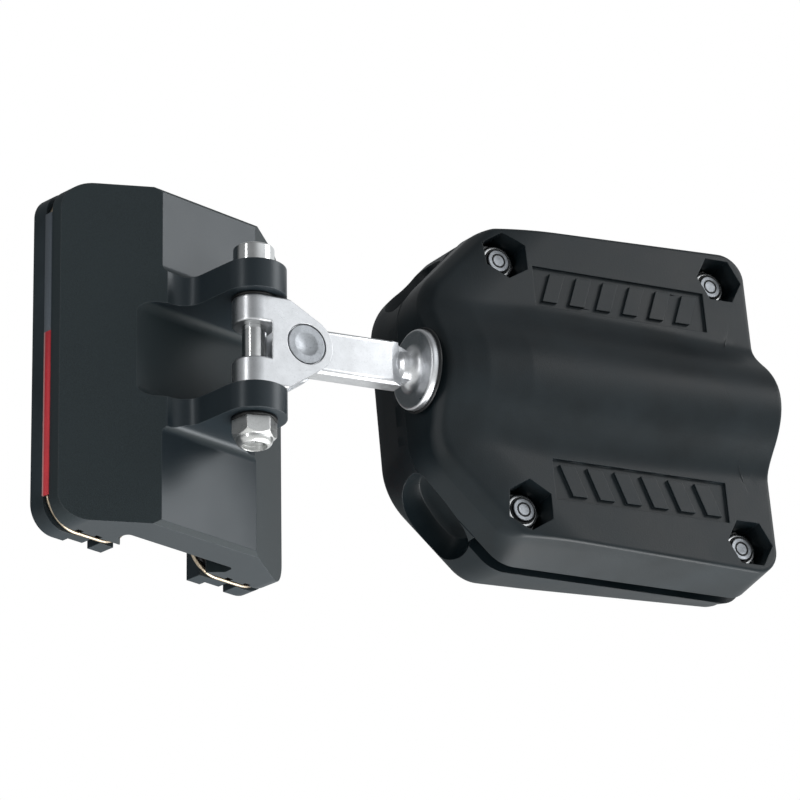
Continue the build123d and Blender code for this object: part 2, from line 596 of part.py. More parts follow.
def make_tension_nut():
    start, length = TENSION_NUT
    half = SLIDE_HALF - 0.1
    nut = block((start, -half, -half), (start + length, half, half))
    nut = chamfer(nut.edges().filter_by(Axis.X), 1.0)
    return RECEPTACLE_AT * (nut - rod(STUD_R + FIT, -FAR, FAR, "x"))


def make_batten_shoe():
    """Cup on the tension nut that carries the end of the batten."""
    radius, start, length = SHOE
    stem = rod(SLIDE_HALF - 1.0, sum(TENSION_NUT), start + 1, "x")
    cup = rod(radius, start, start + length, "x") - rod(radius - 1.5, start + SHOE_FLOOR, FAR * 3, "x")
    return RECEPTACLE_AT * (stem + cup - rod(STUD_R + 0.4, -FAR, start + SHOE_FLOOR - 1, "x"))


# ---------------------------------------------------------------- write the parts
def save(name, shape):
    """One STEP file per node; a list of shapes is one node of separate solids."""
    solids = shape if isinstance(shape, list) else [shape]
    whole = Compound(children=[s for item in solids for s in item.solids()])
    export_step(whole, f"parts/{name}.step")


def main():
    os.makedirs("parts", exist_ok=True)
    guide = make_race_guide()
    wire = make_retaining_wire()
    strip = make_cover_strip()
    balls = make_race_balls()
    save("car_body", make_car_body())
    save("race_guide_right", guide)
    save("race_guide_left", mirrored_y(guide))
    save("guide_screws", make_guide_screws())
    save("race_balls_right", balls)
    save("race_balls_left", [mirrored_y(ball) for ball in balls])
    save("retaining_wire_right", wire)
    save("retaining_wire_left", mirrored_y(wire))
    save("cover_strip_right", strip)
    save("cover_strip_left", mirrored_y(strip))
    save("clevis_pin", make_clevis_pin())
    save("clevis_washer", make_clevis_washer())
    save("clevis_nut", make_clevis_nut())
    save("toggle_block", make_toggle_block())
    save("toggle_washers", make_toggle_washers())
    save("cross_pin", make_cross_pin())
    save("cross_pin_clip", make_cross_pin_clip())
    save("link_bar", make_link_bar())
    save("seat_washer", make_seat_washer())
    save("stud_collar", make_stud_collar())
    save("receptacle_front_shell", make_front_shell())
    save("receptacle_rear_shell", make_rear_shell())
    save("clamp_bolts", make_clamp_bolts())
    save("clamp_washers", make_clamp_washers())
    save("clamp_nuts", make_clamp_nuts())
    save("tension_nut", make_tension_nut())
    save("batten_shoe", make_batten_shoe())


main()
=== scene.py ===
import math

import bmesh
import bpy
from mathutils import Matrix, Vector


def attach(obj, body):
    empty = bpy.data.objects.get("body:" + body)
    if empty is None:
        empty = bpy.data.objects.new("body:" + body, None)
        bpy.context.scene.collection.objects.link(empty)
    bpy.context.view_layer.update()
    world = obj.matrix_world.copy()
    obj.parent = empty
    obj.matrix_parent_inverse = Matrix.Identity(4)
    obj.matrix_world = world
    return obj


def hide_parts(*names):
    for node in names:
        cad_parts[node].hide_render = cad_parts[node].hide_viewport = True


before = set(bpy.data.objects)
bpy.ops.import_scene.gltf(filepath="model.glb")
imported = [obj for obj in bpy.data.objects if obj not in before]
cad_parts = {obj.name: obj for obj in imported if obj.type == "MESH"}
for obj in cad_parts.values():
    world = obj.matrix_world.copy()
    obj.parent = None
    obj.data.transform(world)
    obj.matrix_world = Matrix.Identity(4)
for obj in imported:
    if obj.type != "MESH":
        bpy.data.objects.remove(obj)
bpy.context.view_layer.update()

MM = 0.001

# ---------------------------------------------------------------- camera
# The photograph looks up from below and from the front left of the car.
PHOTO_BACK = Vector((0.6836, -0.6121, -0.3975))     # from the car towards the camera
PHOTO_RIGHT = Vector((0.6670, 0.7450, 0.0))
CAMERA_DISTANCE = 1.2865
CROWN_CENTRE = Vector((0.0185, 0.0, 0.0))
FOCAL_LENGTH = 231.6                                # mm, on a 36 mm sensor
AIM = Vector((-3399.4, 3299.9, 2018.2))             # through the middle of the picture


def make_camera():
    back = PHOTO_BACK.normalized()
    right = PHOTO_RIGHT.normalized()
    up = back.cross(right)
    turn = (-back).rotation_difference(AIM.normalized()).to_matrix()
    axes = [turn @ v for v in (right, up, back)]
    place = CROWN_CENTRE + back * CAMERA_DISTANCE
    data = bpy.data.cameras.new("photo_camera")
    data.lens = FOCAL_LENGTH
    data.sensor_width = 36.0
    data.clip_start = 0.05
    data.clip_end = 50.0
    camera = bpy.data.objects.new("photo_camera", data)
    matrix = Matrix([list(row) for row in zip(*axes)]).to_4x4()
    matrix.translation = place
    camera.matrix_world = matrix
    bpy.context.scene.collection.objects.link(camera)
    bpy.context.scene.camera = camera


make_camera()


# ---------------------------------------------------------------- material graphs
def srgb(r, g, b):
    """Linear colour from 0 to 255 display values."""
    linear = [(c / 255 / 12.92) if c <= 10 else ((c / 255 + 0.055) / 1.055) ** 2.4 for c in (r, g, b)]
    return (*linear, 1.0)


class Graph:
    """A material with a Principled shader and short names for the nodes that feed it."""

    def __init__(self, name):
        self.material = bpy.data.materials.new(name)
        self.material.use_nodes = True
        self.tree = self.material.node_tree
        self.shader = self.tree.nodes["Principled BSDF"]
        self.place = self.node("ShaderNodeTexCoord").outputs["Object"]

    def node(self, kind, inputs=(), **settings):
        made = self.tree.nodes.new(kind)
        for key, value in settings.items():
            setattr(made, key, value)
        for key, value in dict(inputs).items():
            self.feed(made.inputs[key], value)
        return made

    def feed(self, socket, value):
        if isinstance(value, bpy.types.NodeSocket):
            self.tree.links.new(value, socket)
        else:
            socket.default_value = value

    def set(self, **values):
        for key, value in values.items():
            self.feed(self.shader.inputs[key.replace("_", " ")], value)
        return self

    def stretched(self, scale):
        """Object coordinates with each axis scaled."""
        return self.node("ShaderNodeMapping", {"Vector": self.place, "Scale": scale}).outputs["Vector"]

    def noise(self, scale, detail=4.0, rough=0.5, place=None):
        inputs = {"Vector": place or self.place, "Scale": scale, "Detail": detail, "Roughness": rough}
        return self.node("ShaderNodeTexNoise", inputs).outputs["Fac"]

    def cells(self, scale):
        return self.node("ShaderNodeTexVoronoi", {"Vector": self.place, "Scale": scale}).outputs["Distance"]

    def spread(self, value, low, high, to_low=0.0, to_high=1.0):
        """Maps a value from one range to another, clamped."""
        inputs = {"Value": value, "From Min": low, "From Max": high, "To Min": to_low, "To Max": to_high}
        return self.node("ShaderNodeMapRange", inputs).outputs["Result"]

    def math(self, operation, a, b=0.0):
        return self.node("ShaderNodeMath", {0: a, 1: b}, operation=operation).outputs[0]

    def mix(self, factor, a, b):
        made = self.tree.nodes.new("ShaderNodeMix")
        made.data_type = "RGBA"
        colour = [s for s in made.inputs if s.type == "RGBA"]
        self.feed(made.inputs[0], factor)
        self.feed(colour[0], a)
        self.feed(colour[1], b)
        return [s for s in made.outputs if s.type == "RGBA"][0]

    def bump(self, height, depth, strength=1.0, under=None):
        """Bump of a real depth in metres, on top of another normal."""
        inputs = {"Height": height, "Distance": depth, "Strength": strength}
        if under is not None:
            inputs["Normal"] = under
        return self.node("ShaderNodeBump", inputs).outputs["Normal"]

    def soft_edges(self, radius):
        return self.node("ShaderNodeBevel", {"Radius": radius}, samples=4).outputs["Normal"]

    def edge_highlight_mask(self, radius):
        """1 close to a sharp edge and 0 elsewhere."""
        flat = self.node("ShaderNodeNewGeometry").outputs["Normal"]
        normals = {0: self.soft_edges(radius), 1: flat}
        dot = self.node("ShaderNodeVectorMath", normals, operation="DOT_PRODUCT")
        return self.spread(self.math("SUBTRACT", 1.0, dot.outputs["Value"]), 0.02, 0.25)

    def machined_unshaded(self):
        """1 on the milled crown, ends and ears, and 0 on the flanks; 0 also on the crown between the ears,
        as painted shade in that recess.
        """
        normal = self.node("ShaderNodeNewGeometry").outputs["True Normal"]
        local = self.node("ShaderNodeVectorTransform", {"Vector": normal}, vector_type="NORMAL",
                          convert_from="WORLD", convert_to="OBJECT").outputs["Vector"]
        facing = self.node("ShaderNodeSeparateXYZ", {"Vector": local}).outputs
        # the crown between the ears is left out of this mask so that it stays dark: painted shade in the
        # recess
        outside_recess_shade = self.spread(self.math("ABSOLUTE", self.place_axis("Z")), 0.0135, 0.0170)
        flat = self.math("MULTIPLY", self.spread(facing["X"], 0.90, 0.97), outside_recess_shade)
        ends = self.spread(self.math("ABSOLUTE", facing["Z"]), 0.90, 0.97)
        ears = self.spread(self.place_axis("X"), 0.0188, 0.0196)
        return self.math("MAXIMUM", self.math("MAXIMUM", flat, ends), ears)

    def place_axis(self, axis):
        return self.node("ShaderNodeSeparateXYZ", {"Vector": self.place}).outputs[axis]

    def mix_values(self, factor, a, b):
        made = self.tree.nodes.new("ShaderNodeMix")
        for socket, value in zip(made.inputs[:1] + made.inputs[2:4], (factor, a, b)):
            self.feed(socket, value)
        return made.outputs[0]


def anodised(name):
    """Hard-anodised aluminium: matt as extruded on the flanks, finer and brighter where it is milled; the
    crown between the ears keeps the darker flank colour as painted shade.
    """
    g = Graph(name)
    grain = g.noise(5200.0, 3.0, 0.7)
    cloud = g.noise(45.0, 3.0, 0.5)
    machined_unshaded = g.machined_unshaded()
    base = g.mix(g.spread(grain, 0.3, 0.7), srgb(10, 22, 26), srgb(42, 53, 57))
    base = g.mix(g.spread(cloud, 0.35, 0.65, 0.0, 0.30), base, srgb(32, 43, 47))
    # brighter colour on the milled faces; the crown between the ears gets none of it and stays dark as
    # painted shade
    base = g.mix(g.math("MULTIPLY", machined_unshaded, 0.55), base, srgb(40, 48, 55))
    # painted highlight: colour lighter along sharp edges
    base = g.mix(g.math("MULTIPLY", g.edge_highlight_mask(0.00035), 0.35), base, srgb(120, 126, 130))
    matt, fine = g.spread(grain, 0.3, 0.7, 0.50, 0.62), g.spread(cloud, 0.3, 0.7, 0.30, 0.36)
    depth = g.mix_values(machined_unshaded, 0.00007, 0.00001)
    normal = g.bump(grain, depth, 0.7, g.soft_edges(0.00025))
    return g.set(Base_Color=base, Roughness=g.mix_values(machined_unshaded, matt, fine),
                 Metallic=g.spread(machined_unshaded, 0.0, 1.0, 0.0, 0.20),
                 IOR=g.mix_values(machined_unshaded, 1.42, 1.45), Normal=normal).material


def moulded(name, dark, light, rough):
    """Glass-filled nylon straight from a spark-eroded mould: satin black with a fine texture."""
    g = Graph(name)
    grain = g.noise(3600.0, 2.0, 0.6)
    pits = g.cells(2300.0)
    cloud = g.noise(60.0, 4.0, 0.6)
    base = g.mix(g.spread(cloud, 0.3, 0.7), srgb(*dark), srgb(*light))
    # painted highlight: colour lighter along sharp edges
    base = g.mix(g.math("MULTIPLY", g.edge_highlight_mask(0.0004), 0.18), base, srgb(84, 92, 96))
    gloss = g.spread(cloud, 0.35, 0.65, rough[0], rough[1])
    texture = g.math("ADD", grain, g.math("MULTIPLY", pits, 0.6))
    normal = g.bump(texture, 0.00003, 0.55, g.soft_edges(0.0003))
    return g.set(Base_Color=base, Roughness=gloss, IOR=1.38, Normal=normal).material


def stainless(name, tone, rough, ripple, speckle=0.0):
    """Stainless steel: bright, with soft ripples, faint scuffs, dull patches and a tumbled grain."""
    g = Graph(name)
    scuff = g.noise(900.0, 5.0, 0.75, g.stretched((1.0, 0.25, 1.0)))
    wave = g.noise(160.0, 2.0, 0.4)
    patch = g.noise(220.0, 4.0, 0.6)
    fine = g.noise(2600.0, 3.0, 0.7)
    base = g.mix(g.spread(patch, 0.3, 0.7), srgb(*tone), srgb(*[0.90 * c for c in tone]))
    dots = g.math("MULTIPLY", g.spread(fine, 0.55, 0.75), speckle)
    base = g.mix(dots, base, srgb(*[0.62 * c for c in tone]))
    gloss = g.spread(g.math("MULTIPLY", scuff, patch), 0.12, 0.38, rough[0], rough[1])
    normal = g.bump(wave, ripple, 0.5, g.soft_edges(0.0003))
    normal = g.bump(fine, 0.00002, 0.15 + 0.5 * speckle, g.bump(scuff, 0.00001, 0.35, normal))
    return g.set(Base_Color=base, Roughness=gloss, Metallic=1.0, Normal=normal).material


def striped_strip(name, red_top):
    """Printed strip: grey above, red below with a thin pale line along its edge."""
    g = Graph(name)
    x, z = g.place_axis("X"), g.place_axis("Z")
    below = g.math("LESS_THAN", z, red_top)
    grain = g.noise(1500.0, 3.0, 0.6)
    fade = g.noise(90.0, 3.0, 0.6)
    red = g.mix(grain, srgb(168, 22, 36), srgb(206, 46, 58))
    red = g.mix(g.spread(fade, 0.45, 0.7, 0.0, 0.35), red, srgb(150, 30, 40))
    line = g.math("MULTIPLY", g.math("LESS_THAN", x, -0.00075), below)
    grey = g.mix(grain, srgb(76, 84, 92), srgb(96, 104, 112))
    base = g.mix(g.math("MULTIPLY", line, 0.5), g.mix(below, grey, red), srgb(198, 178, 176))
    normal = g.bump(grain, 0.00001, 0.4)
    return g.set(Base_Color=base, Roughness=0.55, Normal=normal).material


def wire_metal(name):
    """Drawn wire: dull yellowish steel with fine lines along it."""
    g = Graph(name)
    draw = g.noise(1800.0, 3.0, 0.6, g.stretched((1.0, 1.0, 0.05)))
    base = g.mix(g.spread(draw, 0.3, 0.7), srgb(150, 134, 112), srgb(196, 184, 166))
    return g.set(Base_Color=base, Roughness=g.spread(draw, 0.3, 0.7, 0.24, 0.40), Metallic=1.0,
                 Normal=g.bump(draw, 0.00001, 0.4)).material


def bronze(name):
    """Turned bronze with fine tool marks."""
    g = Graph(name)
    turning = g.noise(1300.0, 3.0, 0.6, g.stretched((0.2, 1.0, 1.0)))
    base = g.mix(g.spread(turning, 0.3, 0.7), srgb(172, 128, 70), srgb(198, 156, 96))
    return g.set(Base_Color=base, Roughness=0.34, Metallic=1.0,
                 Normal=g.bump(turning, 0.00002, 0.4)).material


RECIPES = {
    "anodised_body": (anodised,),
    "race_guides": (moulded, (22, 32, 37), (38, 48, 54), (0.42, 0.55)),
    "race_balls": (moulded, (12, 13, 14), (24, 25, 26), (0.16, 0.24)),
    "retaining_wires": (wire_metal,),
    "cover_strips": (striped_strip, 0.0057),
    "stainless_fasteners": (stainless, (218, 219, 220), (0.16, 0.32), 0.00003, 0.25),
    "polished_pins": (stainless, (226, 227, 227), (0.08, 0.20), 0.00004),
    "cast_stainless": (stainless, (226, 228, 231), (0.26, 0.40), 0.00005, 0.35),
    # pin_face and bolt_metal are stainless painted darker than the other steel: painted shade that dims
    # their reflections; the pin face's speckle and ripples are its own mottled face
    "pin_face": (stainless, (178, 182, 187), (0.34, 0.55), 0.00060, 0.9),
    "bolt_metal": (stainless, (158, 162, 167), (0.34, 0.55), 0.00040, 0.9),
    "satin_nut": (stainless, (232, 233, 232), (0.22, 0.42), 0.00008, 0.3),
    "black_washers": (moulded, (12, 14, 15), (20, 22, 24), (0.32, 0.42)),
    "moulded_shells": (moulded, (10, 19, 23), (19, 29, 34), (0.36, 0.46)),
    "bronze_nut": (bronze,),
    "inner_plastic": (moulded, (24, 27, 29), (36, 40, 43), (0.42, 0.56)),
}
MATERIALS = {name: make(name, *values) for name, (make, *values) in RECIPES.items()}

NODE_MATERIALS = {
    "car_body": "anodised_body",
    "race_guide_right": "race_guides", "race_guide_left": "race_guides",
    "guide_screws": "stainless_fasteners",
    "race_balls_right": "race_balls", "race_balls_left": "race_balls",
    "retaining_wire_right": "retaining_wires", "retaining_wire_left": "retaining_wires",
    "cover_strip_right": "cover_strips", "cover_strip_left": "cover_strips",
    "clevis_pin": "polished_pins", "clevis_washer": "black_washers",
    "clevis_nut": "satin_nut", "toggle_block": "cast_stainless",
    "toggle_washers": "black_washers", "cross_pin": "pin_face",
    "cross_pin_clip": "stainless_fasteners", "link_bar": "cast_stainless",
    "seat_washer": "black_washers", "stud_collar": "stainless_fasteners",
    "clamp_bolts": "bolt_metal", "clamp_washers": "stainless_fasteners",
    "clamp_nuts": "stainless_fasteners", "tension_nut": "bronze_nut", "batten_shoe": "inner_plastic",
}
BEVELS = {      # edge width in millimetres
    "car_body": 0.25, "race_guide_right": 0.25, "race_guide_left": 0.25, "guide_screws": 0.1,
    "clevis_pin": 0.15, "clevis_washer": 0.12, "clevis_nut": 0.15, "toggle_block": 0.35,
    "cross_pin": 0.15, "link_bar": 0.15, "seat_washer": 0.15, "stud_collar": 0.2,
    "clamp_bolts": 0.15, "clamp_washers": 0.12, "clamp_nuts": 0.15, "tension_nut": 0.2,
    "batten_shoe": 0.3,
}


def dress(name):
    """Gives a CAD node its material, and softens its edges without touching its mesh."""
    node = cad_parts[name]
    node.data.materials.clear()
    node.data.materials.append(MATERIALS[NODE_MATERIALS[name]])
    weld = node.modifiers.new("weld", "WELD")
    weld.merge_threshold = 0.002 * MM
    if name in BEVELS:
        flat = node.modifiers.new("flat", "DECIMATE")
        flat.decimate_type = "DISSOLVE"
        flat.angle_limit = math.radians(0.3)
        bevel = node.modifiers.new("bevel", "BEVEL")
        bevel.width = BEVELS[name] * MM
        bevel.segments = 2
        bevel.limit_method = "ANGLE"
        bevel.angle_limit = math.radians(32)
        bevel.use_clamp_overlap = True
        weighted = node.modifiers.new("weighted", "WEIGHTED_NORMAL")
        weighted.weight = 100
    node.data.polygons.foreach_set("use_smooth", [True] * len(node.data.polygons))


for node_name in NODE_MATERIALS:
    dress(node_name)


# ---------------------------------------------------------------- batten receptacle
# Receptacle frame in millimetres: x from the link's flange to the tail, z up, y to the back.
def receptacle_matrix():
    def turn(degrees, axis):
        return Matrix.Rotation(math.radians(degrees), 4, axis)
    clevis = Matrix.Translation((35.1, 0.0, 1.25)) @ turn(75.34, "Z")
    link = clevis @ Matrix.Translation((11.9, 0.0, 0.73)) @ turn(-3.09, "Y")
    return Matrix.Scale(MM, 4) @ link @ Matrix.Translation((34.0, 0.0, 0.0)) @ turn(-2.68, "X")


BOLT_PLACES = [(x, sign * z) for x, z in ((27.9, 34.8), (92.8, 37.4)) for sign in (-1, 1)]
# Outlines: nose x, nose chamfer (z = x + this), half-heights at x = 25 and 100, tail x
FRONT_PARTING = (1.7, 20.6, (46.2, 46.9), 101.0)
FRONT_RIM = (2.4, 20.3, (43.1, 45.6), 101.0)
REAR_PARTING = (1.7, 20.8, (46.2, 46.9), 101.0)
REAR_RIM = (2.0, 22.6, (45.6, 45.9), 100.2)
NOSE_R, LONG_R, TAIL_R = 18.0, 10.0, 7.0
FACE = -4.5             # y of the two wings
CREST = ((1.7, 7.8), (5.0, 8.9), (9.0, 10.2), (15.0, 11.7), (27.0, 13.0), (50.0, 13.6), (101.0, 14.9))
HUMP_WIDTH = ((1.7, 12.0), (8.0, 14.0), (15.0, 15.8), (35.0, 17.6), (70.0, 17.0), (101.0, 15.8))
BACK = 26.0             # y of the flat back
BACK_CREST = ((1.7, 23.4), (12.0, 25.3), (27.0, 26.9), (101.0, 29.0))
BACK_ROLL = ((20.0, 2.6), (40.0, 3.5), (97.0, 8.5))     # edge radius along the top and bottom
NOSE_ROLL_X = 15.0      # before this, the nose keeps the first radius
FRONT_EDGE_R = 1.0
PARTING_Y = (-10.0, 14.0)       # where the front and rear mouldings end, inside
SPINE_X = (34.0, 84.0)  # the faces' mesh rows run in from the rim to this line
EDGE_ROWS = [0.0, 0.02, 0.06, 0.14, 0.25, 0.4, 0.58, 0.78, 1.0]     # share of the edge radius
NEAR_ROWS = [0.35, 0.8, 1.4, 2.1, 2.9, 3.8, 4.8]                    # distance past the edge
FAR_ROWS = 44
# Insides: holes and rooms, as in the CAD shells
NOSE_BORE_R = 5.05
COLLAR_ROOM = (7.2, 9.0, 12.4)      # half-width, start and end
SLIDE_ROOM = (7.2, 12.3, 26.6)
SHOE_ROOM = (11.9, 26.5, 43.6)
BATTEN_ROOM = (11.5, 43.5, 110.0)
ROOM_BACK = 13.0
BOLT_HOLE_R = 3.1
POCKET = (11.8, 5.5)                # flats of a nut pocket, and y of its floor
COUNTERBORE = (6.3, 21.0)           # radius at a bolt head, and y of its floor


def along(table, x):
    """Value of a table at x, in straight lines between its entries."""
    if x <= table[0][0]:
        return table[0][1]
    for (x0, v0), (x1, v1) in zip(table, table[1:]):
        if x <= x1:
            return v0 + (v1 - v0) * (x - x0) / (x1 - x0)
    return table[-1][1]


def soft_max(a, b, reach):
    """The larger of two values, with a fillet where they cross."""
    gap = max(reach - abs(a - b), 0.0) / reach
    return max(a, b) + gap * gap * reach / 4


def outline(nose, chamfer, heights, tail):
    """Loop of (x, z, inward x, inward z) round the receptacle: straight sides with rounded corners."""
    flare = (heights[1] - heights[0]) / 75
    level = heights[0] - flare * 25
    corner = (level - chamfer) / (1 - flare)
    upper = [(nose, nose + chamfer), (corner, corner + chamfer), (tail, level + flare * tail)]
    corners = [Vector(p) for p in upper] + [Vector((x, -z)) for x, z in reversed(upper)]
    radii = [NOSE_R, LONG_R, TAIL_R, TAIL_R, LONG_R, NOSE_R]
    side_steps = [16, 60, 56, 60, 16, 22]
    arcs = []
    for i, corner in enumerate(corners):
        back = (corners[i - 1] - corner).normalized()
        on = (corners[(i + 1) % 6] - corner).normalized()
        half = math.acos(back.dot(on)) / 2
        centre = corner + (back + on).normalized() * radii[i] / math.sin(half)
        start = corner + back * radii[i] / math.tan(half) - centre
        end = corner + on * radii[i] / math.tan(half) - centre
        sweep = start.angle_signed(end)
        arc = []
        for k in range(13):
            arm = start.copy()
            arm.rotate(Matrix.Rotation(-sweep * k / 12, 2))
            arc.append((centre + arm, -arm.normalized()))
        arcs.append(arc)
    loop = []
    for i, arc in enumerate(arcs):
        loop += arc
        (last, inward), (following, _) = arc[-1], arcs[(i + 1) % 6][0]
        for k in range(1, side_steps[i]):
            loop.append((last.lerp(following, k / side_steps[i]), inward))
    return loop


def nose_distance(x, z):
    """How far a point of the front face is inside its nose and nose chamfers."""
    nose, chamfer = FRONT_RIM[:2]
    centre = Vector((nose + NOSE_R, nose + NOSE_R + chamfer - NOSE_R * math.sqrt(2)))
    arm = Vector((x, abs(z))) - centre
    if arm.x < 0 and 0 < arm.y < -arm.x:
        return NOSE_R - arm.length
    return min(x - nose, (x + chamfer - abs(z)) / math.sqrt(2))


def front_height(x, z):
    """Height of the front face, as -y: two flat wings with a tapering half-round hump between them."""
    inside = nose_distance(x, z)
    dip = 2.1 * (max(14.3 - inside, 0.0) / 12) ** 2
    width = along(HUMP_WIDTH, x)
    hump = -FACE + (along(CREST, x) + FACE) * (1 - (z / width) ** 2)
    surface = soft_max(-FACE - dip, hump, 5.0)
    return surface - soft_max(0.0, 2.4 - 1.04 * inside, 0.7)


def back_height(x, z):
    """Depth of the back face, as y."""
    radius = along(BACK_CREST, x) - 12.0
    round_back = 12.0 + math.sqrt(max(radius * radius - z * z, 0.0)) - 2.0 * abs(z) / radius
    return soft_max(BACK, round_back, 3.0)


def shell_body(name, outer, inner, parting, height, side, edge_radius):
    """Closed moulding: a wall up from the parting face, a rounded edge and a modelled face."""
    outer_loop, inner_loop = outline(*outer), outline(*inner)
    count = len(outer_loop)
    rows = []
    tops = [height(point.x, point.y) - edge_radius(point) for point, _ in inner_loop]
    for share in (0.0, 0.04, 0.35, 0.7, 1.0):
        row = []
        for (low, _), (high, _), top in zip(outer_loop, inner_loop, tops):
            at = low.lerp(high, share)
            row.append((at.x, side * (parting + (top - parting) * share), at.y))
        rows.append(row)
    edge, near = len(EDGE_ROWS), len(EDGE_ROWS) + len(NEAR_ROWS)
    for level in range(1, near + FAR_ROWS):
        row = []
        for point, inward in inner_loop:
            spine = Vector((min(max(point.x, SPINE_X[0]), SPINE_X[1]), 0.0))
            ray = spine - point
            slant = ray.normalized().dot(inward)
            radius = edge_radius(point)
            if level < edge:
                run = radius * EDGE_ROWS[level] / slant
            elif level < near:
                run = (radius + NEAR_ROWS[level - edge]) / slant
            else:
                first = (radius + NEAR_ROWS[-1]) / slant
                run = first + (ray.length - first) * (level - near + 1) / FAR_ROWS
            at = point + ray.normalized() * run
            lip = max(radius - run * slant, 0.0)
            drop = radius - math.sqrt(max(radius * radius - lip * lip, 0.0))
            row.append((at.x, side * (height(at.x, at.y) - drop), at.y))
        rows.append(row)
    vertices = [v for row in rows for v in row]
    faces = []
    for r in range(len(rows) - 1):
        for k in range(count):
            a, b = r * count + k, r * count + (k + 1) % count
            faces.append((a, b, b + count, a + count))
    faces.append(tuple(range(count))[::-1])
    return solid(name, vertices, faces)


def solid(name, vertices, faces):
    """Closed mesh object in the receptacle's frame, with its normals outwards."""
    mesh = bpy.data.meshes.new(name)
    build = bmesh.new()
    place = receptacle_matrix()
    points = [build.verts.new(place @ Vector(v)) for v in vertices]
    for face in faces:
        build.faces.new([points[i] for i in face])
    bmesh.ops.remove_doubles(build, verts=build.verts, dist=1e-7)
    bmesh.ops.recalc_face_normals(build, faces=build.faces)
    build.to_mesh(mesh)
    build.free()
    made = bpy.data.objects.new(name, mesh)
    bpy.context.scene.collection.objects.link(made)
    return made


def prism(lower, upper):
    """Cutter between two matching rings of 3D points."""
    count = len(lower)
    sides = [(k, (k + 1) % count, count + (k + 1) % count, count + k) for k in range(count)]
    caps = [tuple(range(count))[::-1], tuple(range(count, 2 * count))]
    return solid("cutter", list(lower) + list(upper), sides + caps)


def bar_x(ring, start, end):
    """Prism along x from a ring of (y, z)."""
    return prism([(start, y, z) for y, z in ring], [(end, y, z) for y, z in ring])


def bar_y(ring, start, end):
    """Prism along y from a ring of (x, z)."""
    return prism([(x, start, z) for x, z in ring], [(x, end, z) for x, z in ring])


def circle(radius, centre=(0.0, 0.0), sides=64, turn=0.0):
    steps = [turn + 2 * math.pi * k / sides for k in range(sides)]
    return [(centre[0] + radius * math.cos(a), centre[1] + radius * math.sin(a)) for a in steps]


def trough(radius, start, end):
    """Room along x: half-round towards the front and open to the back."""
    angles = [math.pi * k / 32 for k in range(33)]
    arc = [(-radius * math.sin(a), radius * math.cos(a)) for a in angles]
    return bar_x(arc + [(ROOM_BACK, -radius), (ROOM_BACK, radius)], start, end)


def square_room(half, start, end):
    return bar_x([(-half, -half), (ROOM_BACK, -half), (ROOM_BACK, half), (-half, half)], start, end)


def box_y(x0, x1, z0, z1, start, end):
    return bar_y([(x0, z0), (x1, z0), (x1, z1), (x0, z1)], start, end)


# Opening of a webbing scoop on the nose chamfer, as distance along it and depth y, and its middle
SCOOP = [(-12.2, 12.0), (-10.6, 18.0), (-6.5, 21.8), (-1.0, 23.8), (4.8, 24.6), (9.4, 23.6),
         (11.8, 19.5), (11.2, 14.2), (7.4, 10.9), (2.0, 9.6), (-4.0, 8.8), (-9.8, 8.9)]
SCOOP_AT = (11.5, 16.5, 32.2)
SCOOP_TAPER = ((-6.0, 1.06), (0.0, 1.0), (3.4, 0.93), (5.0, 0.82), (5.6, 0.6))      # depth and scale


def smooth_loop(points, steps=6):
    """Catmull-Rom curve through a closed loop of points."""
    out = []
    count = len(points)
    for i in range(count):
        p0, p1, p2, p3 = [Vector(points[(i + k) % count]) for k in (-1, 0, 1, 2)]
        for k in range(steps):
            t = k / steps
            out.append(0.5 * (2 * p1 + (p2 - p0) * t + (2 * p0 - 5 * p1 + 4 * p2 - p3) * t * t
                              + (3 * p1 - p0 - 3 * p2 + p3) * t * t * t))
    return out


def scoop(sign):
    """Tapered cutter for one webbing scoop."""
    ring = smooth_loop(SCOOP)
    at_x, at_y, at_z = SCOOP_AT
    count = len(ring)
    vertices = []
    for depth, scale in SCOOP_TAPER:
        for t, y in ring:
            x = at_x + (t * scale + depth) / math.sqrt(2)
            z = at_z + (t * scale - depth) / math.sqrt(2)
            vertices.append((x, at_y + (y - at_y) * scale, sign * z))
    last = (len(SCOOP_TAPER) - 1) * count
    faces = []
    for low in range(0, last, count):
        for k in range(count):
            on = (k + 1) % count
            faces.append((low + k, low + on, low + count + on, low + count + k))
    faces += [tuple(range(count))[::-1], tuple(range(last, last + count))]
    return solid("cutter", vertices, faces)


def panel(sign):
    """Cutters that sink a framed panel into one wing and leave six plain slanted ribs standing."""
    x0, x1, z0, z1 = 35.2, 87.1, 21.4, 32.6
    top, floor, margin, rib, lean = -9.0, FACE + 0.8, 1.5, 4.4, 1.6
    cells = [box_y(x0, x1, sign * z0, sign * (z0 + margin), top, floor),
             box_y(x0, x1, sign * (z1 - margin), sign * z1, top, floor)]
    gap = (x1 - x0 - 6 * rib) / 7
    low, high = sign * (z0 + margin * 0.9), sign * (z1 - margin * 0.9)
    for k in range(7):
        start, end = x0 + k * (gap + rib), x0 + k * (gap + rib) + gap
        lean_start = 0.0 if k == 0 else lean
        lean_end = 0.0 if k == 6 else lean
        cells.append(bar_y([(start - lean_start, low), (end - lean_end, low),
                            (end + lean_end, high), (start + lean_start, high)], top, floor))
    return cells


